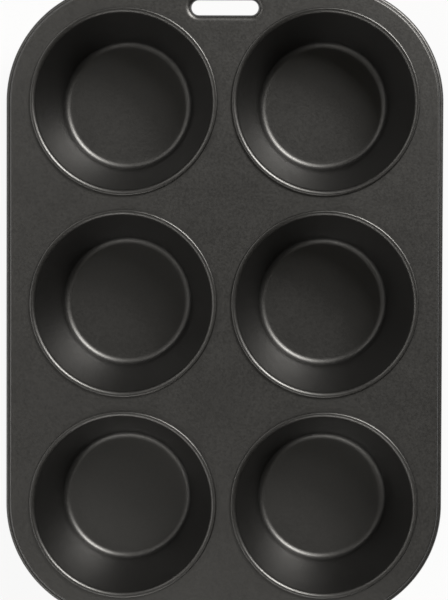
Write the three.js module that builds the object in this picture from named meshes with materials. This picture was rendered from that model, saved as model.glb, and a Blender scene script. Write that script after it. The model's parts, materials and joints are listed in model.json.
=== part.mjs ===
// Jumbo muffin pan: six drawn steel cups seamed into one punched deck, whose edge is rolled round a wire.
// Millimetres, +Z up. X runs across the pan, +Y towards the end with the hanging slot.
// The undersides of the cup floors lie on z = 0.
import * as THREE from "three";
import { mergeGeometries } from "three/addons/utils/BufferGeometryUtils.js";

// Cups and their layout
const CUP_COLUMNS = 2;
const CUP_ROWS = 3;
const CUP_SHEET = 0.6;
const CUP_DEPTH = 48; // crown of the lip to the floor, inside
const MOUTH_DIAMETER = 94; // inside, at the foot of the lip's flare
const FLOOR_DIAMETER = 63; // flat part of the floor, inside
const FLOOR_FILLET = 4.5; // inside radius between floor and wall
const LIP_FLARE = 2.35; // upper radius where the wall flares out to the lip's crown
const LIP_EDGE = 0.9; // upper radius where the lip turns down outside its crown
const LIP_LEG = 0.6; // straight end of the lip below that turn
const WEB_X = 7.5; // deck left between two lips, across the pan
const WEB_Y = 7.5; // deck left between two lips, along the pan

// Deck sheet and the collars that carry the cups
const DECK_SHEET = 0.7;
const EDGE_MARGIN = 12.75; // from an outer cup's lip to the outermost edge of the pan
const COLLAR_BEND = 0.33; // inside radius where a collar turns up
const COLLAR_RISE = 0.65; // collar's top above the deck
const SEAM_CLEARANCE = 0.33; // from the collar out to the lip's leg, and from the leg's end down to the deck

// Rolled outer edge and its wire
const RIM_BEND = 0.3; // inside radius where the deck turns down
const SKIRT_HEIGHT = 0.8; // straight drop between that bend and the roll
const ROLL_NECK = 0.3; // outside radius between the drop and the roll
const ROLL_OVERHANG = 0.7; // from the drop's outer face out to the roll's centre
const ROLL_GAP = 0.8; // slit between the roll's end and the sheet it came from
const WIRE_DIAMETER = 1;
const WIRE_CLEARANCE = 0.3; // between the wire and the rolled sheet

// Hanging slot with round ends
const SLOT_LENGTH = 35.8;
const SLOT_WIDTH = 8;
const SLOT_BEND = 2.6; // inside radius where the sheet turns down into the slot
const SLOT_LIP = 0.8; // straight lip below that bend
const SLOT_FROM_RIM = 2.25; // flat strip between the slot's bend and the bend of the outer edge

// Facets
const RING_STEPS = 8; // per quarter turn of a cup
const CORNER_STEPS = 8; // per corner of the deck
const SLOT_STEPS = 5; // per quarter turn of a slot end, and of the bend round it
const FILLET_STEPS = 3;
const BEND_STEPS = 3;
const SMALL_BEND_STEPS = 2;
const ROLL_STEPS = 8;
const WIRE_SIDES = 8;

// Directions in a section
const RIGHT = 0;
const UP = Math.PI / 2;
const LEFT = Math.PI;
const DOWN = -Math.PI / 2;

// Sizes of the seam
const crownReach = MOUTH_DIAMETER / 2 + LIP_FLARE;
const lipReach = crownReach + LIP_EDGE;
const flareHeight = CUP_SHEET + CUP_DEPTH - LIP_FLARE;
const edgeHeight = CUP_SHEET + CUP_DEPTH - LIP_EDGE;
const lipEnd = edgeHeight - LIP_LEG;
const deckTop = lipEnd - SEAM_CLEARANCE;
const deckBottom = deckTop - DECK_SHEET;
const collarTop = deckTop + COLLAR_RISE;
const collarFace = lipReach - CUP_SHEET - SEAM_CLEARANCE;

// Layout: half the distance between the outermost cup centres, and the pan's edge beyond them
const pitchX = 2 * lipReach + WEB_X;
const pitchY = 2 * lipReach + WEB_Y;
const spanX = ((CUP_COLUMNS - 1) * pitchX) / 2;
const spanY = ((CUP_ROWS - 1) * pitchY) / 2;
const edgeReach = lipReach + EDGE_MARGIN;

// Sizes of the rolled edge, out from the centres of the corner cups
const rollInside = WIRE_DIAMETER / 2 + WIRE_CLEARANCE;
const rollOutside = rollInside + DECK_SHEET;
const rollReach = edgeReach - rollOutside;
const skirtReach = rollReach - ROLL_OVERHANG;
const rimBendReach = skirtReach - DECK_SHEET - RIM_BEND;
const rimBendHeight = deckBottom - RIM_BEND;
const neckReach = skirtReach + ROLL_NECK;
const neckHeight = rimBendHeight - SKIRT_HEIGHT;
const neckToRoll = ROLL_NECK + rollOutside;
const neckOut = neckReach - rollReach;
const rollHeight = neckHeight - Math.sqrt(neckToRoll ** 2 - neckOut ** 2);

// Sizes of the slot's turned-down edge, out from the centres of its round ends
const slotBendReach = SLOT_WIDTH / 2 + DECK_SHEET + SLOT_BEND;
const slotBendHeight = deckBottom - SLOT_BEND;
const slotY = spanY + rimBendReach - SLOT_FROM_RIM - slotBendReach;

// Points on an arc in a section, angles in radians, both ends included.
function arc(centreX, centreY, radius, from, to, steps) {
  const points = [];
  for (let step = 0; step <= steps; step++) {
    const angle = from + ((to - from) * step) / steps;
    points.push(new THREE.Vector2(centreX + radius * Math.cos(angle), centreY + radius * Math.sin(angle)));
  }
  return points;
}

// Section of one cup from the axis along the outside, up under the lip, over it and back along the inside.
function cupSection() {
  const floorArcX = FLOOR_DIAMETER / 2;
  const floorArcY = CUP_SHEET + FLOOR_FILLET;
  // The wall is the line that touches both the floor's arc and the flare of the lip.
  const rise = flareHeight - floorArcY;
  const run = crownReach - floorArcX;
  const wall = Math.atan2(rise, run) - Math.acos((FLOOR_FILLET + LIP_FLARE) / Math.hypot(rise, run));
  const lipStart = wall + Math.PI;
  return [
    new THREE.Vector2(0, 0),
    ...arc(floorArcX, floorArcY, FLOOR_FILLET + CUP_SHEET, DOWN, wall, FILLET_STEPS),
    ...arc(crownReach, flareHeight, LIP_FLARE - CUP_SHEET, lipStart, UP, BEND_STEPS),
    ...arc(crownReach, edgeHeight, LIP_EDGE - CUP_SHEET, UP, RIGHT, SMALL_BEND_STEPS).slice(1),
    new THREE.Vector2(lipReach - CUP_SHEET, lipEnd),
    new THREE.Vector2(lipReach, lipEnd),
    ...arc(crownReach, edgeHeight, LIP_EDGE, RIGHT, UP, SMALL_BEND_STEPS),
    ...arc(crownReach, flareHeight, LIP_FLARE, UP, lipStart, BEND_STEPS).slice(1),
    ...arc(floorArcX, floorArcY, FLOOR_FILLET, wall, DOWN, FILLET_STEPS),
    new THREE.Vector2(0, CUP_SHEET),
  ];
}

function cupGeometry() {
  return new THREE.LatheGeometry(cupSection(), 4 * RING_STEPS).rotateX(UP);
}

// Stations round a rectangle with rounded corners, anticlockwise: the corner's centre and the way out from it.
// With no span at all the rectangle is a circle.
function stationsRound(centreX, centreY, halfSpanX, halfSpanY, stepsPerCorner) {
  const stations = [];
  for (let corner = 0; corner < 4; corner++) {
    const x = centreX + (corner === 0 || corner === 3 ? halfSpanX : -halfSpanX);
    const y = centreY + (corner < 2 ? halfSpanY : -halfSpanY);
    const straight = corner % 2 === 0 ? halfSpanX : halfSpanY;
    const steps = straight > 0 ? stepsPerCorner : stepsPerCorner - 1;
    for (let step = 0; step <= steps; step++) {
      const angle = ((corner + step / stepsPerCorner) * Math.PI) / 2;
      stations.push({ x, y, outX: Math.cos(angle), outY: Math.sin(angle) });
    }
  }
  return stations;
}

// The point at one station that lies a given distance out from the corner's centre.
function pointAt(station, reach, height) {
  return new THREE.Vector3(station.x + station.outX * reach, station.y + station.outY * reach, height);
}

// The surface that a section leaves when it is carried once round the stations.
function surfaceRound(stations, section) {
  const corners = [];
  stations.forEach((station, index) => {
    const next = stations[(index + 1) % stations.length];
    for (let row = 0; row + 1 < section.length; row++) {
      const here = section[row];
      const there = section[row + 1];
      const a = pointAt(station, here.x, here.y);
      const b = pointAt(next, here.x, here.y);
      const c = pointAt(next, there.x, there.y);
      const d = pointAt(station, there.x, there.y);
      corners.push(a, d, c, a, c, b);
    }
  });
  return new THREE.BufferGeometry().setFromPoints(corners);
}

// A level face with holes, looking up or down. Each border starts where the section of its edge starts.
function levelFace(outerEdge, holeEdges, height, looksUp) {
  const border = (edge) => edge.stations.map((station) => pointAt(station, edge.section[0].x, height));
  const shape = new THREE.Shape(border(outerEdge));
  shape.holes = holeEdges.map((edge) => new THREE.Path(border(edge)));
  const face = new THREE.ShapeGeometry(shape).translate(0, 0, height).toNonIndexed();
  const positions = face.getAttribute("position");
  const order = looksUp ? [0, 1, 2] : [0, 2, 1];
  const corners = [];
  for (let first = 0; first < positions.count; first += 3) {
    order.forEach((step) => corners.push(new THREE.Vector3().fromBufferAttribute(positions, first + step)));
  }
  return new THREE.BufferGeometry().setFromPoints(corners);
}

// Section of the upturned collar that a lip hangs over, from the deck's top to its underside.
function collarSection() {
  const bendX = collarFace + COLLAR_BEND;
  const bendY = deckTop + COLLAR_BEND;
  return [
    ...arc(bendX, bendY, COLLAR_BEND, DOWN, -LEFT, SMALL_BEND_STEPS),
    new THREE.Vector2(collarFace, collarTop),
    new THREE.Vector2(collarFace - DECK_SHEET, collarTop),
    ...arc(bendX, bendY, COLLAR_BEND + DECK_SHEET, -LEFT, DOWN, SMALL_BEND_STEPS),
  ];
}

// Section of the outer edge, from the deck's top down the skirt, round the wire and back to its underside.
function rimSection() {
  const rollStart = Math.acos(neckOut / neckToRoll);
  const neckEnd = rollStart + Math.PI;
  // The roll stops short of the skirt: angle at its centre between its start and its end, across the slit.
  const slitReach = ROLL_NECK + DECK_SHEET + ROLL_GAP;
  const slitCosine = (rollOutside ** 2 + neckToRoll ** 2 - slitReach ** 2) / (2 * rollOutside * neckToRoll);
  const rollEnd = rollStart + Math.acos(slitCosine) - 2 * Math.PI;
  return [
    ...arc(rimBendReach, rimBendHeight, RIM_BEND + DECK_SHEET, UP, RIGHT, BEND_STEPS),
    ...arc(neckReach, neckHeight, ROLL_NECK, LEFT, neckEnd, SMALL_BEND_STEPS),
    ...arc(rollReach, rollHeight, rollOutside, rollStart, rollEnd, ROLL_STEPS).slice(1),
    ...arc(rollReach, rollHeight, rollInside, rollEnd, rollStart, ROLL_STEPS),
    ...arc(neckReach, neckHeight, ROLL_NECK + DECK_SHEET, neckEnd, LEFT, SMALL_BEND_STEPS).slice(1),
    ...arc(rimBendReach, rimBendHeight, RIM_BEND, RIGHT, UP, BEND_STEPS),
  ];
}

// Section of the slot's edge, from the deck's top down to the lip's end and back to the underside.
function slotSection() {
  const lipFace = SLOT_WIDTH / 2;
  const lipBottom = slotBendHeight - SLOT_LIP;
  return [
    ...arc(slotBendReach, slotBendHeight, SLOT_BEND + DECK_SHEET, UP, LEFT, SLOT_STEPS),
    new THREE.Vector2(lipFace, lipBottom),
    new THREE.Vector2(lipFace + DECK_SHEET, lipBottom),
    ...arc(slotBendReach, slotBendHeight, SLOT_BEND, LEFT, UP, SLOT_STEPS),
  ];
}

// Centres of the cups, row by row from the slot's end.
function cupCentres() {
  const centres = [];
  for (let row = 0; row < CUP_ROWS; row++) {
    for (let column = 0; column < CUP_COLUMNS; column++) {
      centres.push({ row, column, x: column * pitchX - spanX, y: spanY - row * pitchY });
    }
  }
  return centres;
}

// One sheet: a level top and underside, joined by the rolled edge, the collars and the slot's edge.
function deckGeometry() {
  const rim = { stations: stationsRound(0, 0, spanX, spanY, CORNER_STEPS), section: rimSection() };
  const collars = cupCentres().map((cup) => ({
    stations: stationsRound(cup.x, cup.y, 0, 0, RING_STEPS),
    section: collarSection(),
  }));
  const slot = {
    stations: stationsRound(0, slotY, (SLOT_LENGTH - SLOT_WIDTH) / 2, 0, SLOT_STEPS),
    section: slotSection(),
  };
  const holes = [...collars, slot];
  return mergeGeometries([
    levelFace(rim, holes, deckTop, true),
    levelFace(rim, holes, deckBottom, false),
    surfaceRound(rim.stations, rim.section),
    // The sheet lies outside a hole's edge, so a hole is followed the other way round.
    ...holes.map((hole) => surfaceRound(hole.stations.toReversed(), hole.section)),
  ]);
}

function wireGeometry() {
  const stations = stationsRound(0, 0, spanX, spanY, CORNER_STEPS);
  const section = arc(rollReach, rollHeight, WIRE_DIAMETER / 2, 2 * Math.PI, 0, WIRE_SIDES);
  return surfaceRound(stations, section);
}

// Finishes
const coatedSteel = { color: 0x3c3b39, roughness: 0.42, metalness: 0.25 };
const bareSteel = { color: 0x8e9092, roughness: 0.35, metalness: 1 };

function piece(name, geometry, finish) {
  const mesh = new THREE.Mesh(geometry, new THREE.MeshStandardMaterial(finish));
  mesh.name = name;
  return mesh;
}

const pan = new THREE.Group();
pan.name = "jumbo_muffin_pan";
pan.add(piece("deck", deckGeometry(), coatedSteel));

const rowNames = ["back", "middle", "front"];
const columnNames = ["left", "right"];
for (const cup of cupCentres()) {
  const mesh = piece(`cup_${rowNames[cup.row]}_${columnNames[cup.column]}`, cupGeometry(), coatedSteel);
  mesh.position.set(cup.x, cup.y, 0);
  pan.add(mesh);
}

pan.add(piece("rim_wire", wireGeometry(), bareSteel));

export default pan;
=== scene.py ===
"""Looks of a jumbo muffin pan: coated cups seamed into a coated deck whose edge is rolled round a wire."""

import json
import logging
import math
from collections.abc import Callable, Mapping, Sequence
from dataclasses import dataclass, field
from enum import Enum
from typing import Any

import bmesh
import bpy
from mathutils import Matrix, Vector

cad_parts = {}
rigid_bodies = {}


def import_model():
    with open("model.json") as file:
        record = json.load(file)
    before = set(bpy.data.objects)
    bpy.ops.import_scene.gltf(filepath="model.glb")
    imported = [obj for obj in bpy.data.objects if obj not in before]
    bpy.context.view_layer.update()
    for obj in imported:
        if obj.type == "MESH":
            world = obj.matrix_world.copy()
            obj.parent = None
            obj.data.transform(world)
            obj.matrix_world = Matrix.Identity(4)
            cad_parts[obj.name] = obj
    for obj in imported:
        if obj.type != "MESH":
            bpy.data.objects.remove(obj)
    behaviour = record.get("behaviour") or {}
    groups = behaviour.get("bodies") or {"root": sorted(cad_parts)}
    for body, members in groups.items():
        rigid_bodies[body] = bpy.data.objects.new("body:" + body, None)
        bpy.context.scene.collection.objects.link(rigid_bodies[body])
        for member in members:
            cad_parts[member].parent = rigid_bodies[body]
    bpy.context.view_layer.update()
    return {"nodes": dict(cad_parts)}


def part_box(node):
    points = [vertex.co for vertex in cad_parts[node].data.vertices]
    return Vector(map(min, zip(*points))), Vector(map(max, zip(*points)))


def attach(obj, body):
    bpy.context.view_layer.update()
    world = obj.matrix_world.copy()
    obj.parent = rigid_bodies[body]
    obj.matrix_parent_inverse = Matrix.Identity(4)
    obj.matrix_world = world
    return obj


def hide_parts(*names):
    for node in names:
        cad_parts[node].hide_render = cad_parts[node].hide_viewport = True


LOG = logging.getLogger("muffin_pan")
MM = 0.001
BODY = "root"
IMAGE_HEIGHT = 600

# Directions across a sheet, in radians.
RIGHT = 0.0
UP = math.pi / 2
LEFT = math.pi
DOWN = -math.pi / 2

# How close points lie that are merged, and how close a face lies to the height that it counts for.
MERGE_WITHIN = 0.002 * MM
LEVEL_WITHIN = 0.01 * MM

# A cut edge's broken corner: its width, its steps, and the angle from which an edge counts as cut.
BROKEN_EDGE = 0.1 * MM
BROKEN_EDGE_STEPS = 2
CUT_EDGE_ANGLE = math.radians(60)

# The angle below which two faces are shaded as one smooth surface.
SMOOTH_BELOW = math.radians(38)

# The middle of a random pattern, and how much each finer layer counts in it.
MIDDLE = 0.5
FINER_SHARE = 0.55

Triple = tuple[float, float, float]
Colour = Triple
Point = tuple[float, float]

WHITE: Colour = (1.0, 1.0, 1.0)


class Detail(Enum):
    """How many finer layers a random pattern has."""

    PLAIN = 1.0
    FINE = 2.0
    RICH = 3.0


class MathStep(Enum):
    """The sums that a shader can do on plain numbers."""

    ADD = "ADD"
    SUBTRACT = "SUBTRACT"
    MULTIPLY = "MULTIPLY"
    DIVIDE = "DIVIDE"
    MAXIMUM = "MAXIMUM"
    MINIMUM = "MINIMUM"


class Value:
    """A number that changes over a surface. Python's operators on it add Math nodes."""

    def __init__(self, graph: "Graph", socket: bpy.types.NodeSocket) -> None:
        """Wraps an output socket of one node of a graph."""
        self.graph = graph
        self.socket = socket

    def __add__(self, other: "Number") -> "Value":
        """Adds a number."""
        return self.graph.sum(MathStep.ADD, self, other)

    def __radd__(self, other: "Number") -> "Value":
        """Is added to a number."""
        return self.graph.sum(MathStep.ADD, other, self)

    def __sub__(self, other: "Number") -> "Value":
        """Takes a number away."""
        return self.graph.sum(MathStep.SUBTRACT, self, other)

    def __rsub__(self, other: "Number") -> "Value":
        """Is taken away from a number."""
        return self.graph.sum(MathStep.SUBTRACT, other, self)

    def __mul__(self, other: "Number") -> "Value":
        """Is multiplied by a number."""
        return self.graph.sum(MathStep.MULTIPLY, self, other)

    def __rmul__(self, other: "Number") -> "Value":
        """Multiplies a number."""
        return self.graph.sum(MathStep.MULTIPLY, other, self)

    def __truediv__(self, other: "Number") -> "Value":
        """Is divided by a number."""
        return self.graph.sum(MathStep.DIVIDE, self, other)

    def __rtruediv__(self, other: "Number") -> "Value":
        """Divides a number."""
        return self.graph.sum(MathStep.DIVIDE, other, self)

    def limited(self) -> "Value":
        """Is held between 0 and 1."""
        return self.graph.sum(MathStep.MINIMUM, self.graph.sum(MathStep.MAXIMUM, self, 0.0), 1.0)


Number = Value | float | int


class Graph:
    """The node tree of one material or of the world."""

    def __init__(self, tree: bpy.types.NodeTree) -> None:
        """Takes over a node tree and clears it."""
        self.tree = tree
        tree.nodes.clear()

    def node(
        self,
        kind: str,
        settings: Mapping[str, Any] | None = None,
        sockets: Mapping[str | int, Any] | None = None,
    ) -> bpy.types.Node:
        """Adds one node.

        Args:
            kind: the node's type name.
            settings: its own properties, set before its sockets.
            sockets: the value or the link of each input, by name or by number.

        Returns:
            The new node.
        """
        made = self.tree.nodes.new(kind)
        for name, value in (settings or {}).items():
            setattr(made, name, value)
        for key, value in (sockets or {}).items():
            if isinstance(value, Value):
                value = value.socket
            if isinstance(value, bpy.types.NodeSocket):
                self.tree.links.new(value, made.inputs[key])
            else:
                made.inputs[key].default_value = value
        return made

    def sum(self, step: MathStep, first: Number, second: Number) -> Value:
        """Works out one step on two numbers, at least one of which changes over the surface."""
        made = self.node("ShaderNodeMath", {"operation": step.value}, {0: first, 1: second})
        return Value(self, made.outputs["Value"])

    def place(self, scale: Sequence[float] = (1.0, 1.0, 1.0)) -> bpy.types.NodeSocket:
        """Gives the place on the piece, in metres.

        Args:
            scale: how much the place is stretched along each axis.

        Returns:
            The place's socket.
        """
        coordinates = self.node("ShaderNodeTexCoord")
        sockets = {"Vector": coordinates.outputs["Object"], "Scale": scale}
        return self.node("ShaderNodeMapping", {}, sockets).outputs["Vector"]

    def height(self) -> Value:
        """Gives the height of the place on the piece, in metres."""
        axes = self.node("ShaderNodeSeparateXYZ", {}, {"Vector": self.place()})
        return Value(self, axes.outputs["Z"])

    def distance(self) -> Value:
        """Gives the distance of the place from the middle, in metres."""
        return self.length(self.place())

    def length(self, vector: bpy.types.NodeSocket) -> Value:
        """Gives the length of a vector."""
        made = self.node("ShaderNodeVectorMath", {"operation": "LENGTH"}, {0: vector})
        return Value(self, made.outputs["Value"])

    def spread(self, half_x: float, half_y: float) -> Value:
        """Measures the place against a rounded rectangle round the middle.

        Args:
            half_x: half the rectangle's width, in metres.
            half_y: half its length.

        Returns:
            A number that grows outwards from 0 and is 1 along the rectangle's outline.
        """
        place = self.place((1 / half_x, 1 / half_y, 0.0))
        squares = self.node("ShaderNodeVectorMath", {"operation": "MULTIPLY"}, {0: place, 1: place})
        return self.length(squares.outputs["Vector"])

    def noise(self, place: bpy.types.NodeSocket, grain: float, detail: Detail) -> Value:
        """Gives a soft random pattern.

        Args:
            place: where on the piece.
            grain: the usual size of one patch, in metres.
            detail: how many finer layers are added.

        Returns:
            A number around one half.
        """
        sockets = {"Vector": place, "Scale": 1 / grain, "Detail": detail.value, "Roughness": FINER_SHARE}
        made = self.node("ShaderNodeTexNoise", {}, sockets)
        return Value(self, made.outputs["Fac"])

    def blend(self, share: Number, low: Colour, high: Colour) -> bpy.types.NodeSocket:
        """Blends two colours.

        Args:
            share: the second colour's share, from 0 to 1.
            low: the first colour.
            high: the second colour.

        Returns:
            The blend's socket.
        """
        made = self.node(
            "ShaderNodeMix",
            {"data_type": "RGBA", "clamp_factor": True},
            {"Factor": share, "A": (*low, 1.0), "B": (*high, 1.0)},
        )
        return made.outputs["Result"]

    def bump(
        self, height: Value, depth: float, below: bpy.types.NodeSocket | None = None
    ) -> bpy.types.NodeSocket:
        """Turns a height pattern into a normal.

        Args:
            height: the pattern, from 0 to 1.
            depth: how deep the pattern is, in metres.
            below: the normal of a coarser pattern underneath.

        Returns:
            The normal's socket.
        """
        sockets: dict[str | int, Any] = {"Height": height, "Distance": depth, "Strength": 1.0}
        if below is not None:
            sockets["Normal"] = below
        return self.node("ShaderNodeBump", {}, sockets).outputs["Normal"]

    def close(self, kind: str, socket: str, shader: bpy.types.NodeSocket) -> None:
        """Ends the tree with its output node."""
        self.node(kind, {}, {socket: shader})


def material_graph(name: str) -> tuple[bpy.types.Material, Graph]:
    """Makes an empty material.

    Args:
        name: the material's name.

    Returns:
        The material and the graph that fills it.
    """
    material = bpy.data.materials.new(name)
    material.use_nodes = True
    return material, Graph(material.node_tree)


@dataclass(frozen=True)
class NonStickCoat:
    """A satin, dark non-stick coating, sprayed on steel sheet and cured, and rubbed on the cups' crowns."""

    colour: Colour = (0.001, 0.001, 0.00095)
    thin_colour: Colour = (0.008, 0.0079, 0.0075)
    roughness: float = 0.41
    index: float = 2.0
    cloud: float = 22 * MM
    cloud_swing: float = 0.05
    grain: float = 1.1 * MM
    grain_swing: float = 0.14
    peel: float = 0.9 * MM
    peel_depth: float = 0.02 * MM
    sheet_wave: float = 45 * MM
    sheet_wave_depth: float = 0.05 * MM
    rubbed_above: float = 48.1 * MM
    rubbed_fade: float = 0.3 * MM
    rubbed_shine: float = 0.05
    thin_by_grain: float = 3.0
    thin_by_cloud: float = 0.5

    def material(self, name: str) -> bpy.types.Material:
        """Makes the coating's material.

        Args:
            name: the material's name.

        Returns:
            The material, which reads each piece's own place.
        """
        material, graph = material_graph(name)
        place = graph.place()
        cloud = graph.noise(place, self.cloud, Detail.RICH) - MIDDLE
        grain = graph.noise(place, self.grain, Detail.FINE) - MIDDLE
        peel = graph.noise(place, self.peel, Detail.PLAIN)
        wave = graph.noise(place, self.sheet_wave, Detail.PLAIN)
        rubbed = ((graph.height() - self.rubbed_above) / self.rubbed_fade).limited()
        thin = (MIDDLE + grain * self.thin_by_grain + cloud * self.thin_by_cloud).limited()
        rough = self.roughness + cloud * self.cloud_swing + grain * self.grain_swing
        rough = rough - rubbed * self.rubbed_shine
        normal = graph.bump(peel, self.peel_depth, graph.bump(wave, self.sheet_wave_depth))
        shader = graph.node(
            "ShaderNodeBsdfPrincipled",
            {},
            {
                "Base Color": graph.blend(thin, self.colour, self.thin_colour),
                "Roughness": rough,
                "IOR": self.index,
                "Normal": normal,
            },
        )
        graph.close("ShaderNodeOutputMaterial", "Surface", shader.outputs["BSDF"])
        return material


@dataclass(frozen=True)
class DrawnWire:
    """Bare steel wire with fine marks of the drawing die along it."""

    colour: Colour = (0.42, 0.42, 0.43)
    dull_colour: Colour = (0.3, 0.295, 0.29)
    roughness: float = 0.32
    patch: float = 6 * MM
    patch_contrast: float = 1.6
    patch_shift: float = 0.3
    mark: float = 1.2 * MM
    mark_squeeze: float = 12.0
    mark_swing: float = 0.2
    mark_depth: float = 0.01 * MM

    def material(self, name: str) -> bpy.types.Material:
        """Makes the wire's material.

        Args:
            name: the material's name.

        Returns:
            The material, dull in patches and marked in fine lines.
        """
        material, graph = material_graph(name)
        patches = graph.noise(graph.place(), self.patch, Detail.FINE)
        marks = graph.noise(graph.place((1.0, 1.0, self.mark_squeeze)), self.mark, Detail.PLAIN)
        dull = (patches * self.patch_contrast - self.patch_shift).limited()
        shader = graph.node(
            "ShaderNodeBsdfPrincipled",
            {},
            {
                "Base Color": graph.blend(dull, self.colour, self.dull_colour),
                "Metallic": 1.0,
                "Roughness": self.roughness + (marks - MIDDLE) * self.mark_swing,
                "Normal": graph.bump(marks, self.mark_depth),
            },
        )
        graph.close("ShaderNodeOutputMaterial", "Surface", shader.outputs["BSDF"])
        return material


@dataclass
class Section:
    """A chain of points across a sheet: how far out each one lies, and how high, in metres."""

    points: list[Point] = field(default_factory=list)

    def to(self, reach: float, height: float) -> "Section":
        """Goes straight to a point."""
        self.points.append((reach, height))
        return self

    def arc(self, centre: Point, radius: float, start: float, end: float, steps: int) -> "Section":
        """Goes along an arc.

        Args:
            centre: the arc's centre.
            radius: its radius.
            start: the angle where it starts, in radians.
            end: the angle where it ends.
            steps: the number of straight steps.

        Returns:
            The section itself.
        """
        for step in range(steps + 1):
            angle = start + (end - start) * step / steps
            self.to(centre[0] + radius * math.cos(angle), centre[1] + radius * math.sin(angle))
        return self


class Bench:
    """One new mesh, shaped in edit mode with the operators that a modeller would use."""

    def __init__(self, name: str) -> None:
        """Keeps the name of the finished piece."""
        self.name = name

    def disc(self, centre: Vector, radius: float, sides: int) -> None:
        """Starts the mesh with a filled disc and selects its border.

        Args:
            centre: the disc's centre.
            radius: its radius.
            sides: the number of its sides.
        """
        bpy.ops.object.select_all(action="DESELECT")
        bpy.ops.mesh.primitive_circle_add(
            vertices=sides, radius=radius, fill_type="NGON", location=centre, enter_editmode=True
        )
        self.select_edges(lambda edge: edge.is_boundary)

    def ring(
        self, centre: Vector, radius: float, sides: int, rotation: Sequence[float] = (0.0, 0.0, 0.0)
    ) -> None:
        """Adds a bare ring of edges and leaves it selected.

        Args:
            centre: the ring's centre.
            radius: its radius.
            sides: the number of its sides.
            rotation: how it is turned, in radians.
        """
        bpy.ops.mesh.select_all(action="DESELECT")
        bpy.ops.mesh.primitive_circle_add(
            vertices=sides, radius=radius, fill_type="NOTHING", location=centre, rotation=rotation
        )

    def chain(self, points: Sequence[Vector]) -> None:
        """Adds a chain of edges through points and selects it.

        Args:
            points: the points, in order.
        """
        if bpy.context.mode == "EDIT_MESH":
            bpy.ops.mesh.select_all(action="DESELECT")
            bpy.ops.mesh.primitive_plane_add(size=MM, location=points[0])
        else:
            bpy.ops.object.select_all(action="DESELECT")
            bpy.ops.mesh.primitive_plane_add(size=MM, location=points[0], enter_editmode=True)
        bpy.ops.mesh.select_mode(type="VERT")
        bpy.ops.mesh.merge(type="CENTER")
        for here, there in zip(points, points[1:]):
            bpy.ops.mesh.extrude_vertices_move(TRANSFORM_OT_translate={"value": there - here})
        bpy.ops.mesh.select_linked()

    def select_edges(self, wanted: Callable[[bmesh.types.BMEdge], bool]) -> int:
        """Selects the edges that fit a test and nothing else.

        Args:
            wanted: the test.

        Returns:
            How many edges are selected.
        """
        bpy.ops.mesh.select_mode(type="EDGE")
        bpy.ops.mesh.select_all(action="DESELECT")
        mesh = bmesh.from_edit_mesh(bpy.context.edit_object.data)
        found = [edge for edge in mesh.edges if wanted(edge)]
        for edge in found:
            edge.select_set(True)
        mesh.select_flush_mode()
        bmesh.update_edit_mesh(bpy.context.edit_object.data)
        return len(found)

    def follow(self, centre: Vector, section: Section) -> None:
        """Extrudes the selected ring along a section, ring by ring.

        Args:
            centre: the ring's axis.
            section: the section, whose first point is where the ring already lies.
        """
        reach, height = section.points[0]
        for next_reach, next_height in section.points[1:]:
            bpy.ops.mesh.extrude_edges_move(TRANSFORM_OT_translate={"value": (0, 0, next_height - height)})
            scale = next_reach / reach
            bpy.ops.transform.resize(
                value=(scale, scale, 1.0), center_override=(centre.x, centre.y, next_height)
            )
            reach, height = next_reach, next_height

    def carry_round(self, centre: Vector, half_x: float, half_y: float, corner_steps: int) -> None:
        """Carries the selected chain once round a rectangle with rounded corners, anticlockwise.

        Args:
            centre: the rectangle's centre.
            half_x: half the distance between the corners' centres across.
            half_y: half that distance along. The chain lies at the right-hand side's lower end.
            corner_steps: the number of steps in each corner.
        """
        corners = ((half_x, half_y), (-half_x, half_y), (-half_x, -half_y), (half_x, -half_y))
        runs = ((0.0, 2 * half_y), (-2 * half_x, 0.0), (0.0, -2 * half_y), (2 * half_x, 0.0))
        for corner, run in zip(corners, runs):
            if any(run):
                bpy.ops.mesh.extrude_region_move(TRANSFORM_OT_translate={"value": (*run, 0.0)})
            pivot = (centre.x + corner[0], centre.y + corner[1], 0.0)
            bpy.ops.mesh.spin(steps=corner_steps, angle=UP, center=pivot, axis=(0.0, 0.0, -1.0))

    def fill_level(self, height: float) -> None:
        """Fills the level space between the open borders at one height.

        Args:
            height: the height of the borders.
        """
        local = height - bpy.context.edit_object.location.z

        def level(edge: bmesh.types.BMEdge) -> bool:
            """Says whether an open border lies at the height."""
            return len(edge.link_faces) < 2 and all(abs(v.co.z - local) < MERGE_WITHIN for v in edge.verts)

        self.select_edges(level)
        bpy.ops.mesh.fill(use_beauty=True)

    def settle(self) -> None:
        """Merges doubles, turns the faces one way and moves the place into the mesh."""
        bpy.ops.mesh.select_all(action="SELECT")
        bpy.ops.mesh.remove_doubles(threshold=MERGE_WITHIN)
        bpy.ops.mesh.normals_make_consistent(inside=False)
        bpy.ops.object.mode_set(mode="OBJECT")
        bpy.ops.object.transform_apply(location=True, rotation=True, scale=True)
        made = bpy.context.object
        made.name = self.name
        made.data.name = self.name

    def face_up(self, height: float) -> None:
        """Turns the whole sheet over if its level faces look down.

        Args:
            height: the height of the level faces.
        """
        mesh = bpy.context.object.data
        level = [face for face in mesh.polygons if abs(face.center.z - height) < LEVEL_WITHIN]
        if sum(face.normal.z * face.area for face in level) < 0:
            bpy.ops.object.mode_set(mode="EDIT")
            bpy.ops.mesh.select_all(action="SELECT")
            bpy.ops.mesh.flip_normals()
            bpy.ops.object.mode_set(mode="OBJECT")

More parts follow.
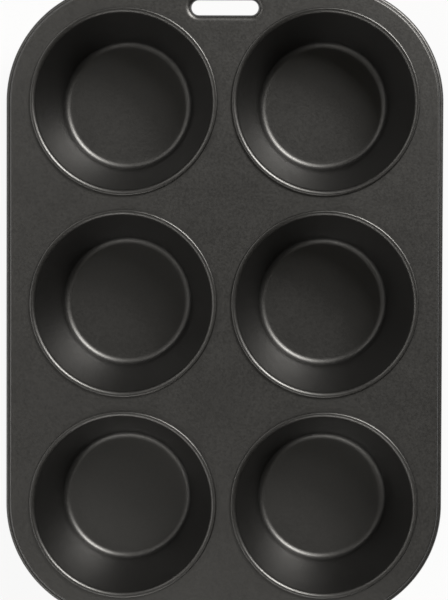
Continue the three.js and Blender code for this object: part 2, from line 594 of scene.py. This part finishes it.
    def thicken(self, thickness: float) -> None:
        """Gives the sheet its thickness below its faces and takes the sharpness off its cut edges.

        Args:
            thickness: the sheet's thickness.
        """
        made = bpy.context.object
        wall = made.modifiers.new("sheet_thickness", "SOLIDIFY")
        wall.thickness = thickness
        wall.offset = -1.0
        wall.use_even_offset = True
        bpy.ops.object.modifier_apply(modifier=wall.name)
        edge = made.modifiers.new("broken_edges", "BEVEL")
        edge.limit_method = "ANGLE"
        edge.angle_limit = CUT_EDGE_ANGLE
        edge.width = BROKEN_EDGE
        edge.segments = BROKEN_EDGE_STEPS
        bpy.ops.object.modifier_apply(modifier=edge.name)

    def smooth(self) -> bpy.types.Object:
        """Shades the piece smooth except over its cut edges.

        Returns:
            The finished piece.
        """
        bpy.ops.object.shade_smooth_by_angle(angle=SMOOTH_BELOW)
        made = bpy.context.object
        bpy.ops.object.select_all(action="DESELECT")
        return made


@dataclass(frozen=True)
class Seam:
    """How a cup's lip hangs over the deck's collar, with the places that follow from it."""

    cup_sheet: float = 0.6 * MM
    deck_sheet: float = 0.7 * MM
    cup_depth: float = 48 * MM
    mouth_radius: float = 47 * MM
    lip_flare: float = 2.35 * MM
    lip_edge: float = 0.9 * MM
    lip_leg: float = 0.6 * MM
    collar_rise: float = 0.65 * MM
    collar_bend: float = 0.33 * MM
    clearance: float = 0.33 * MM

    @property
    def flare_centre(self) -> Point:
        """Centre of the arc where the wall flares out to the lip's crown."""
        return self.mouth_radius + self.lip_flare, self.cup_sheet + self.cup_depth - self.lip_flare

    @property
    def edge_centre(self) -> Point:
        """Centre of the arc where the lip turns down outside its crown."""
        return self.flare_centre[0], self.cup_sheet + self.cup_depth - self.lip_edge

    @property
    def lip_reach(self) -> float:
        """Outermost radius of the lip."""
        return self.edge_centre[0] + self.lip_edge

    @property
    def lip_end(self) -> float:
        """Height of the lip's cut end."""
        return self.edge_centre[1] - self.lip_leg

    @property
    def deck_top(self) -> float:
        """Height of the deck's upper face."""
        return self.lip_end - self.clearance

    @property
    def collar_face(self) -> float:
        """Radius of a collar's upright outer face."""
        return self.lip_reach - self.cup_sheet - self.clearance


@dataclass
class Cup:
    """One deep-drawn cup with a rounded floor corner, a tapered wall and a turned-over lip."""

    name: str
    seam: Seam
    floor_radius: float = 31.5 * MM
    floor_fillet: float = 4.5 * MM
    floor_margin: float = 2 * MM
    wall_stations: tuple[float, ...] = (0.04, 0.5, 0.98)
    sides: int = 160
    round_steps: int = 16
    edge_steps: int = 10

    def section(self) -> Section:
        """Draws the cup's inner face from the floor to the end of the lip.

        Returns:
            The section, whose wall is tangent to the floor's round and to the flare.
        """
        flare, edge = self.seam.flare_centre, self.seam.edge_centre
        round_centre = (self.floor_radius, self.seam.cup_sheet + self.floor_fillet)
        rise, run = flare[1] - round_centre[1], flare[0] - round_centre[0]
        reach = self.floor_fillet + self.seam.lip_flare
        wall = math.atan2(rise, run) - math.acos(reach / math.hypot(rise, run))
        section = Section()
        section.to(self.floor_radius - self.floor_margin, self.seam.cup_sheet)
        section.arc(round_centre, self.floor_fillet, DOWN, wall, self.round_steps)
        low, foot = section.points[-1], len(section.points)
        section.arc(flare, self.seam.lip_flare, wall + math.pi, UP, self.round_steps)
        section.points.extend(Section().arc(edge, self.seam.lip_edge, UP, RIGHT, self.edge_steps).points[1:])
        high = section.points[foot]
        stations = [
            (low[0] + (high[0] - low[0]) * share, low[1] + (high[1] - low[1]) * share)
            for share in self.wall_stations
        ]
        section.points[foot:foot] = stations
        return section.to(self.seam.lip_reach, self.seam.lip_end)

    def build(self) -> bpy.types.Object:
        """Models the cup where its solid stands.

        Returns:
            The finished piece.
        """
        middle = plan_middle(self.name)
        section = self.section()
        bench = Bench(self.piece_name)
        start = section.points[0]
        bench.disc(Vector((middle.x, middle.y, start[1])), start[0], self.sides)
        bench.follow(middle, section)
        bench.settle()
        bench.face_up(self.seam.cup_sheet)
        bench.thicken(self.seam.cup_sheet)
        return bench.smooth()

    def copy_of(self, other: "Cup", piece: bpy.types.Object) -> bpy.types.Object:
        """Copies a finished cup to where this cup's solid stands.

        Args:
            other: the cup that is already modelled.
            piece: its finished piece.

        Returns:
            The copy, with a mesh of its own.
        """
        bpy.ops.object.select_all(action="DESELECT")
        piece.select_set(True)
        bpy.context.view_layer.objects.active = piece
        bpy.ops.object.duplicate(linked=False)
        bpy.ops.transform.translate(value=plan_middle(self.name) - plan_middle(other.name))
        bpy.ops.object.transform_apply(location=True, rotation=True, scale=True)
        made = bpy.context.object
        made.name = self.piece_name
        made.data.name = self.piece_name
        bpy.ops.object.select_all(action="DESELECT")
        return made

    @property
    def piece_name(self) -> str:
        """Name of the finished piece."""
        return f"{self.name}_formed"

    def dress(self, piece: bpy.types.Object, finish: bpy.types.Material) -> None:
        """Gives the cup its finish and puts it in place of its solid."""
        seat(piece, self.name, finish)


@dataclass
class Deck:
    """The punched deck sheet with its collars, hanging slot and rolled edge."""

    seam: Seam
    half_x: float
    half_y: float
    edge_margin: float = 12.7 * MM
    rim_bend: float = 0.3 * MM
    skirt_height: float = 0.8 * MM
    roll_neck: float = 0.3 * MM
    roll_overhang: float = 0.7 * MM
    roll_gap: float = 0.8 * MM
    wire_radius: float = 0.5 * MM
    wire_clearance: float = 0.3 * MM
    slot_length: float = 35.8 * MM
    slot_width: float = 8 * MM
    slot_bend: float = 2.6 * MM
    slot_lip: float = 0.8 * MM
    slot_from_rim: float = 2.25 * MM
    border: float = 0.5 * MM
    hole_sides: int = 160
    corner_steps: int = 48
    slot_end_steps: int = 16
    rim_steps: int = 12
    neck_steps: int = 8
    roll_steps: int = 40
    collar_steps: int = 6
    slot_steps: int = 14
    name: str = "deck"

    @property
    def bottom(self) -> float:
        """Height of the deck's underside."""
        return self.seam.deck_top - self.seam.deck_sheet

    @property
    def roll_outside(self) -> float:
        """Outside radius of the rolled edge."""
        return self.wire_radius + self.wire_clearance + self.seam.deck_sheet

    @property
    def roll_reach(self) -> float:
        """From the corner cups' centres out to the middle of the roll."""
        return self.seam.lip_reach + self.edge_margin - self.roll_outside

    @property
    def neck(self) -> Point:
        """Centre of the hollow between the skirt and the roll."""
        reach = self.roll_reach - self.roll_overhang + self.roll_neck
        return reach, self.bottom - self.rim_bend - self.skirt_height

    @property
    def roll_centre(self) -> Point:
        """Centre of the rolled edge and of its wire."""
        drop = math.sqrt((self.roll_neck + self.roll_outside) ** 2 - (self.neck[0] - self.roll_reach) ** 2)
        return self.roll_reach, self.neck[1] - drop

    @property
    def rim_bend_centre(self) -> Point:
        """Centre of the bend where the deck turns down."""
        reach = self.roll_reach - self.roll_overhang - self.seam.deck_sheet - self.rim_bend
        return reach, self.bottom - self.rim_bend

    def rim_section(self) -> Section:
        """Draws the outer edge's upper face, from the level deck down the skirt and round the wire.

        Returns:
            The section, out from the corner cups' centres.
        """
        join = self.roll_neck + self.roll_outside
        start = math.acos((self.neck[0] - self.roll_reach) / join)
        slit = self.roll_neck + self.seam.deck_sheet + self.roll_gap
        open_angle = math.acos((self.roll_outside**2 + join**2 - slit**2) / (2 * self.roll_outside * join))
        end = start + open_angle - 2 * math.pi
        bend = self.rim_bend_centre
        section = Section().to(bend[0] - self.border, self.seam.deck_top)
        section.arc(bend, self.rim_bend + self.seam.deck_sheet, UP, RIGHT, self.rim_steps)
        section.arc(self.neck, self.roll_neck, LEFT, start + math.pi, self.neck_steps)
        roll = Section().arc(self.roll_centre, self.roll_outside, start, end, self.roll_steps)
        section.points.extend(roll.points[1:])
        return section

    def collar_section(self) -> Section:
        """Draws a collar's upper face, from the level deck in and up to its top edge.

        Returns:
            The section, out from the cup's centre.
        """
        face = self.seam.collar_face
        bend = (face + self.seam.collar_bend, self.seam.deck_top + self.seam.collar_bend)
        section = Section().to(bend[0] + self.border, self.seam.deck_top)
        section.arc(bend, self.seam.collar_bend, DOWN, -LEFT, self.collar_steps)
        return section.to(face, self.seam.deck_top + self.seam.collar_rise)

    def slot_section(self) -> Section:
        """Draws the slot edge's upper face, from the level deck in and down to its lip.

        Returns:
            The section, out from the slot's middle line.
        """
        bend = (self.slot_width / 2 + self.seam.deck_sheet + self.slot_bend, self.bottom - self.slot_bend)
        section = Section().to(bend[0] + self.border, self.seam.deck_top)
        section.arc(bend, self.slot_bend + self.seam.deck_sheet, UP, LEFT, self.slot_steps)
        return section.to(self.slot_width / 2, bend[1] - self.slot_lip)

    def slot_middle(self) -> Vector:
        """Gives the slot's centre in plan."""
        reach = self.slot_width / 2 + self.seam.deck_sheet + self.slot_bend
        return Vector((0.0, self.half_y + self.rim_bend_centre[0] - self.slot_from_rim - reach, 0.0))

    def build(self, cups: Sequence[Vector]) -> bpy.types.Object:
        """Models the deck.

        Args:
            cups: the cups' centres in plan.

        Returns:
            The finished piece.
        """
        bench = Bench("deck_formed")
        rim = self.rim_section()
        bench.chain([Vector((self.half_x + reach, -self.half_y, height)) for reach, height in rim.points])
        bench.carry_round(Vector(), self.half_x, self.half_y, self.corner_steps)
        slot, middle = self.slot_section(), self.slot_middle()
        half = (self.slot_length - self.slot_width) / 2
        bench.chain([Vector((middle.x + half + reach, middle.y, height)) for reach, height in slot.points])
        bench.carry_round(middle, half, 0.0, self.slot_end_steps)
        collar, first = self.collar_section(), cups[0]
        start = collar.points[0]
        bench.ring(Vector((first.x, first.y, start[1])), start[0], self.hole_sides)
        bench.follow(first, collar)
        bpy.ops.mesh.select_linked()
        for here, there in zip(cups, cups[1:]):
            bpy.ops.mesh.duplicate_move(TRANSFORM_OT_translate={"value": there - here})
        bpy.ops.mesh.select_all(action="SELECT")
        bpy.ops.mesh.remove_doubles(threshold=MERGE_WITHIN)
        bench.fill_level(self.seam.deck_top)
        bench.settle()
        bench.face_up(self.seam.deck_top)
        bench.thicken(self.seam.deck_sheet)
        return bench.smooth()

    def dress(self, piece: bpy.types.Object, finish: bpy.types.Material) -> None:
        """Gives the deck its finish and puts it in place of its solid."""
        seat(piece, self.name, finish)


@dataclass
class RimWire:
    """The wire inside the deck's rolled edge."""

    deck: Deck
    sides: int = 20
    name: str = "rim_wire"

    def build(self) -> bpy.types.Object:
        """Models the wire as one closed loop.

        Returns:
            The finished piece.
        """
        reach, height = self.deck.roll_centre
        bench = Bench("rim_wire_drawn")
        start = Vector((self.deck.half_x + reach, -self.deck.half_y, height))
        # The chain only opens a new mesh in edit mode. The ring is what is carried round.
        bench.chain([start, start + Vector((0.0, 0.0, MM))])
        bpy.ops.mesh.delete(type="VERT")
        bench.ring(start, self.deck.wire_radius, self.sides, (UP, 0.0, 0.0))
        bench.carry_round(Vector(), self.deck.half_x, self.deck.half_y, self.deck.corner_steps)
        bench.settle()
        return bench.smooth()

    def dress(self, piece: bpy.types.Object, finish: bpy.types.Material) -> None:
        """Gives the wire its finish and puts it in place of its solid."""
        seat(piece, self.name, finish)


def plan_middle(node: str) -> Vector:
    """Gives the centre of a solid in plan."""
    low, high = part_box(node)
    return Vector(((low.x + high.x) / 2, (low.y + high.y) / 2, 0.0))


def seat(piece: bpy.types.Object, node: str, finish: bpy.types.Material) -> None:
    """Puts a finished piece in place of a solid.

    Args:
        piece: the new piece.
        node: the solid that it stands for.
        finish: the piece's material.
    """
    piece.data.materials.clear()
    piece.data.materials.append(finish)
    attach(piece, BODY)
    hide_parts(node)
    LOG.info("%s stands for %s with %d faces", piece.name, node, len(piece.data.polygons))


@dataclass(frozen=True)
class Softbox:
    """One soft studio lamp, aimed at the middle of the pan.

    Its light is what a white sheet held square to it at the pan would show, times pi.
    """

    name: str
    azimuth: float
    elevation: float
    width: float
    height: float
    distance: float
    light: float
    colour: Colour = (1.0, 0.97, 0.918)

    def build(self, aim: Vector) -> bpy.types.Object:
        """Hangs the lamp.

        Args:
            aim: the point that it lights.

        Returns:
            The lamp.
        """
        across, up = math.radians(self.azimuth), math.radians(self.elevation)
        out = Vector((math.cos(across) * math.cos(up), math.sin(across) * math.cos(up), math.sin(up)))
        lamp = bpy.data.lights.new(self.name, "AREA")
        lamp.shape = "ELLIPSE"
        lamp.size = self.width
        lamp.size_y = self.height
        lamp.energy = self.light * math.pi * self.distance**2
        lamp.color = self.colour
        made = bpy.data.objects.new(self.name, lamp)
        made.location = aim + out * self.distance
        made.rotation_euler = out.to_track_quat("Z", "Y").to_euler()
        made.visible_camera = False
        bpy.context.scene.collection.objects.link(made)
        return made


@dataclass
class Studio:
    """The floor, the lamps, the pale surroundings and the camera."""

    floor_colour: Colour = (0.82, 0.82, 0.82)
    floor_shade: Colour = (0.795, 0.795, 0.795)
    floor_size: float = 8.0
    floor_patch: float = 0.4
    floor_height: float = -0.05 * MM
    floor_glow: float = 0.9
    under_glow: float = 0.5
    under_core: float = 0.6
    under_half_x: float = 116 * MM
    under_half_y: float = 148 * MM
    shadow_reach: float = 0.3
    shadow_fade: float = 0.7
    surroundings: float = 0.032
    surroundings_colour: Colour = (1.0, 0.9, 0.7)
    camera_place: Triple = (15.72 * MM, 38.37 * MM, 1271.87 * MM)
    camera_turn: Triple = (-1.698, 0.741, 0.189)
    focal_pixels: float = 2290.4
    sensor_height: float = 36.0
    nearest: float = 0.01
    # Each lamp's name, azimuth, elevation, width, height, distance and light.
    lamps: tuple[Softbox, ...] = (
        Softbox("key_lamp", 51, 40, 1.5, 0.8, 3.0, 2.21),
        Softbox("high_key_lamp", 51, 50, 1.2, 1.2, 3.0, 0.96),
        Softbox("back_left_lamp", 135, 34, 0.5, 0.3, 0.7, 0.4),
        Softbox("left_lamp", 180, 27, 0.4, 0.25, 0.7, 0.31),
        Softbox("corner_lamp", 225, 27, 1.2, 0.25, 0.9, 0.695),
        Softbox("front_lamp", 268, 30, 0.4, 0.25, 0.7, 0.513),
        Softbox("high_left_lamp", 165, 60, 0.5, 0.3, 0.7, 0.127),
        Softbox("high_front_lamp", 260, 60, 0.5, 0.3, 0.7, 0.139),
    )

    def floor(self) -> None:
        """Lays the pale floor, white to the camera but for the soft shadow on it."""
        bpy.ops.object.select_all(action="DESELECT")
        bpy.ops.mesh.primitive_plane_add(size=self.floor_size, location=(0.0, 0.0, self.floor_height))
        plane = bpy.context.object
        plane.name = "studio_floor"
        material, graph = material_graph("studio_floor")
        path = graph.node("ShaderNodeLightPath")
        seen = Value(graph, path.outputs["Is Camera Ray"])
        mirrored = Value(graph, path.outputs["Is Glossy Ray"])
        through = Value(graph, path.outputs["Is Transmission Ray"])
        grain = graph.noise(graph.place(), self.floor_patch, Detail.FINE)
        colour = graph.blend(grain, self.floor_colour, self.floor_shade)
        sockets = {"Base Color": colour, "Roughness": 1.0, "Specular IOR Level": 0.0}
        paper = graph.node("ShaderNodeBsdfPrincipled", {}, sockets)
        white = graph.node("ShaderNodeEmission", {}, {"Color": (*WHITE, 1.0), "Strength": 1.0})
        # The floor shows more of the shadow under the pan than beside it, and none far away.
        spread = graph.spread(self.under_half_x, self.under_half_y)
        beside = ((spread - self.under_core) / (1.0 - self.under_core)).limited()
        away = ((graph.distance() - self.shadow_reach) / self.shadow_fade).limited()
        glow = self.under_glow + beside * (self.floor_glow - self.under_glow)
        glow = glow + away * (1.0 - self.floor_glow)
        share = ((seen + mirrored + through) * glow).limited()
        mixed = graph.node(
            "ShaderNodeMixShader", {}, {0: share, 1: paper.outputs["BSDF"], 2: white.outputs["Emission"]}
        )
        graph.close("ShaderNodeOutputMaterial", "Surface", mixed.outputs["Shader"])
        plane.data.materials.append(material)

    def surround(self) -> None:
        """Sets the even light from all round, white where the camera sees it."""
        scene = bpy.context.scene
        scene.world = bpy.data.worlds.new("studio")
        scene.world.use_nodes = True
        graph = Graph(scene.world.node_tree)
        path = graph.node("ShaderNodeLightPath")
        seen = Value(graph, path.outputs["Is Camera Ray"])
        strength = self.surroundings + seen * (1.0 - self.surroundings)
        colour = graph.blend(seen, self.surroundings_colour, WHITE)
        light = graph.node("ShaderNodeBackground", {}, {"Color": colour, "Strength": strength})
        graph.close("ShaderNodeOutputWorld", "Surface", light.outputs["Background"])

    def camera(self) -> None:
        """Sets up the camera straight above the pan, as the photograph was taken."""
        lens = bpy.data.cameras.new("camera")
        lens.sensor_fit = "VERTICAL"
        lens.sensor_height = self.sensor_height
        lens.lens = self.sensor_height * self.focal_pixels / IMAGE_HEIGHT
        lens.clip_start = self.nearest
        made = bpy.data.objects.new("camera", lens)
        made.location = self.camera_place
        made.rotation_euler = [math.radians(turn) for turn in self.camera_turn]
        bpy.context.scene.collection.objects.link(made)
        bpy.context.scene.camera = made

    def build(self, aim: Vector) -> None:
        """Builds the whole studio round the pan.

        Args:
            aim: the point that the lamps light.
        """
        bpy.context.scene.view_settings.view_transform = "Standard"
        self.floor()
        self.surround()
        for lamp in self.lamps:
            lamp.build(aim)
        self.camera()


def main() -> None:
    """Builds every piece of the pan and its studio."""
    logging.basicConfig(level=logging.INFO, format="%(message)s")
    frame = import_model()
    seam = Seam()
    coat = NonStickCoat()
    cups = [Cup(name, seam) for name in sorted(frame["nodes"]) if name.startswith("cup_")]
    middles = [plan_middle(cup.name) for cup in cups]
    cup_finish = coat.material("cup_coat")
    first = cups[0].build()
    formed = [first] + [cup.copy_of(cups[0], first) for cup in cups[1:]]
    for cup, piece in zip(cups, formed):
        cup.dress(piece, cup_finish)
    deck = Deck(seam, max(spot.x for spot in middles), max(spot.y for spot in middles))
    deck.dress(deck.build(middles), coat.material("deck_coat"))
    wire = RimWire(deck)
    wire.dress(wire.build(), DrawnWire().material("rim_wire_steel"))
    Studio().build(Vector((0.0, 0.0, seam.deck_top)))


if __name__ == "__main__":
    main()
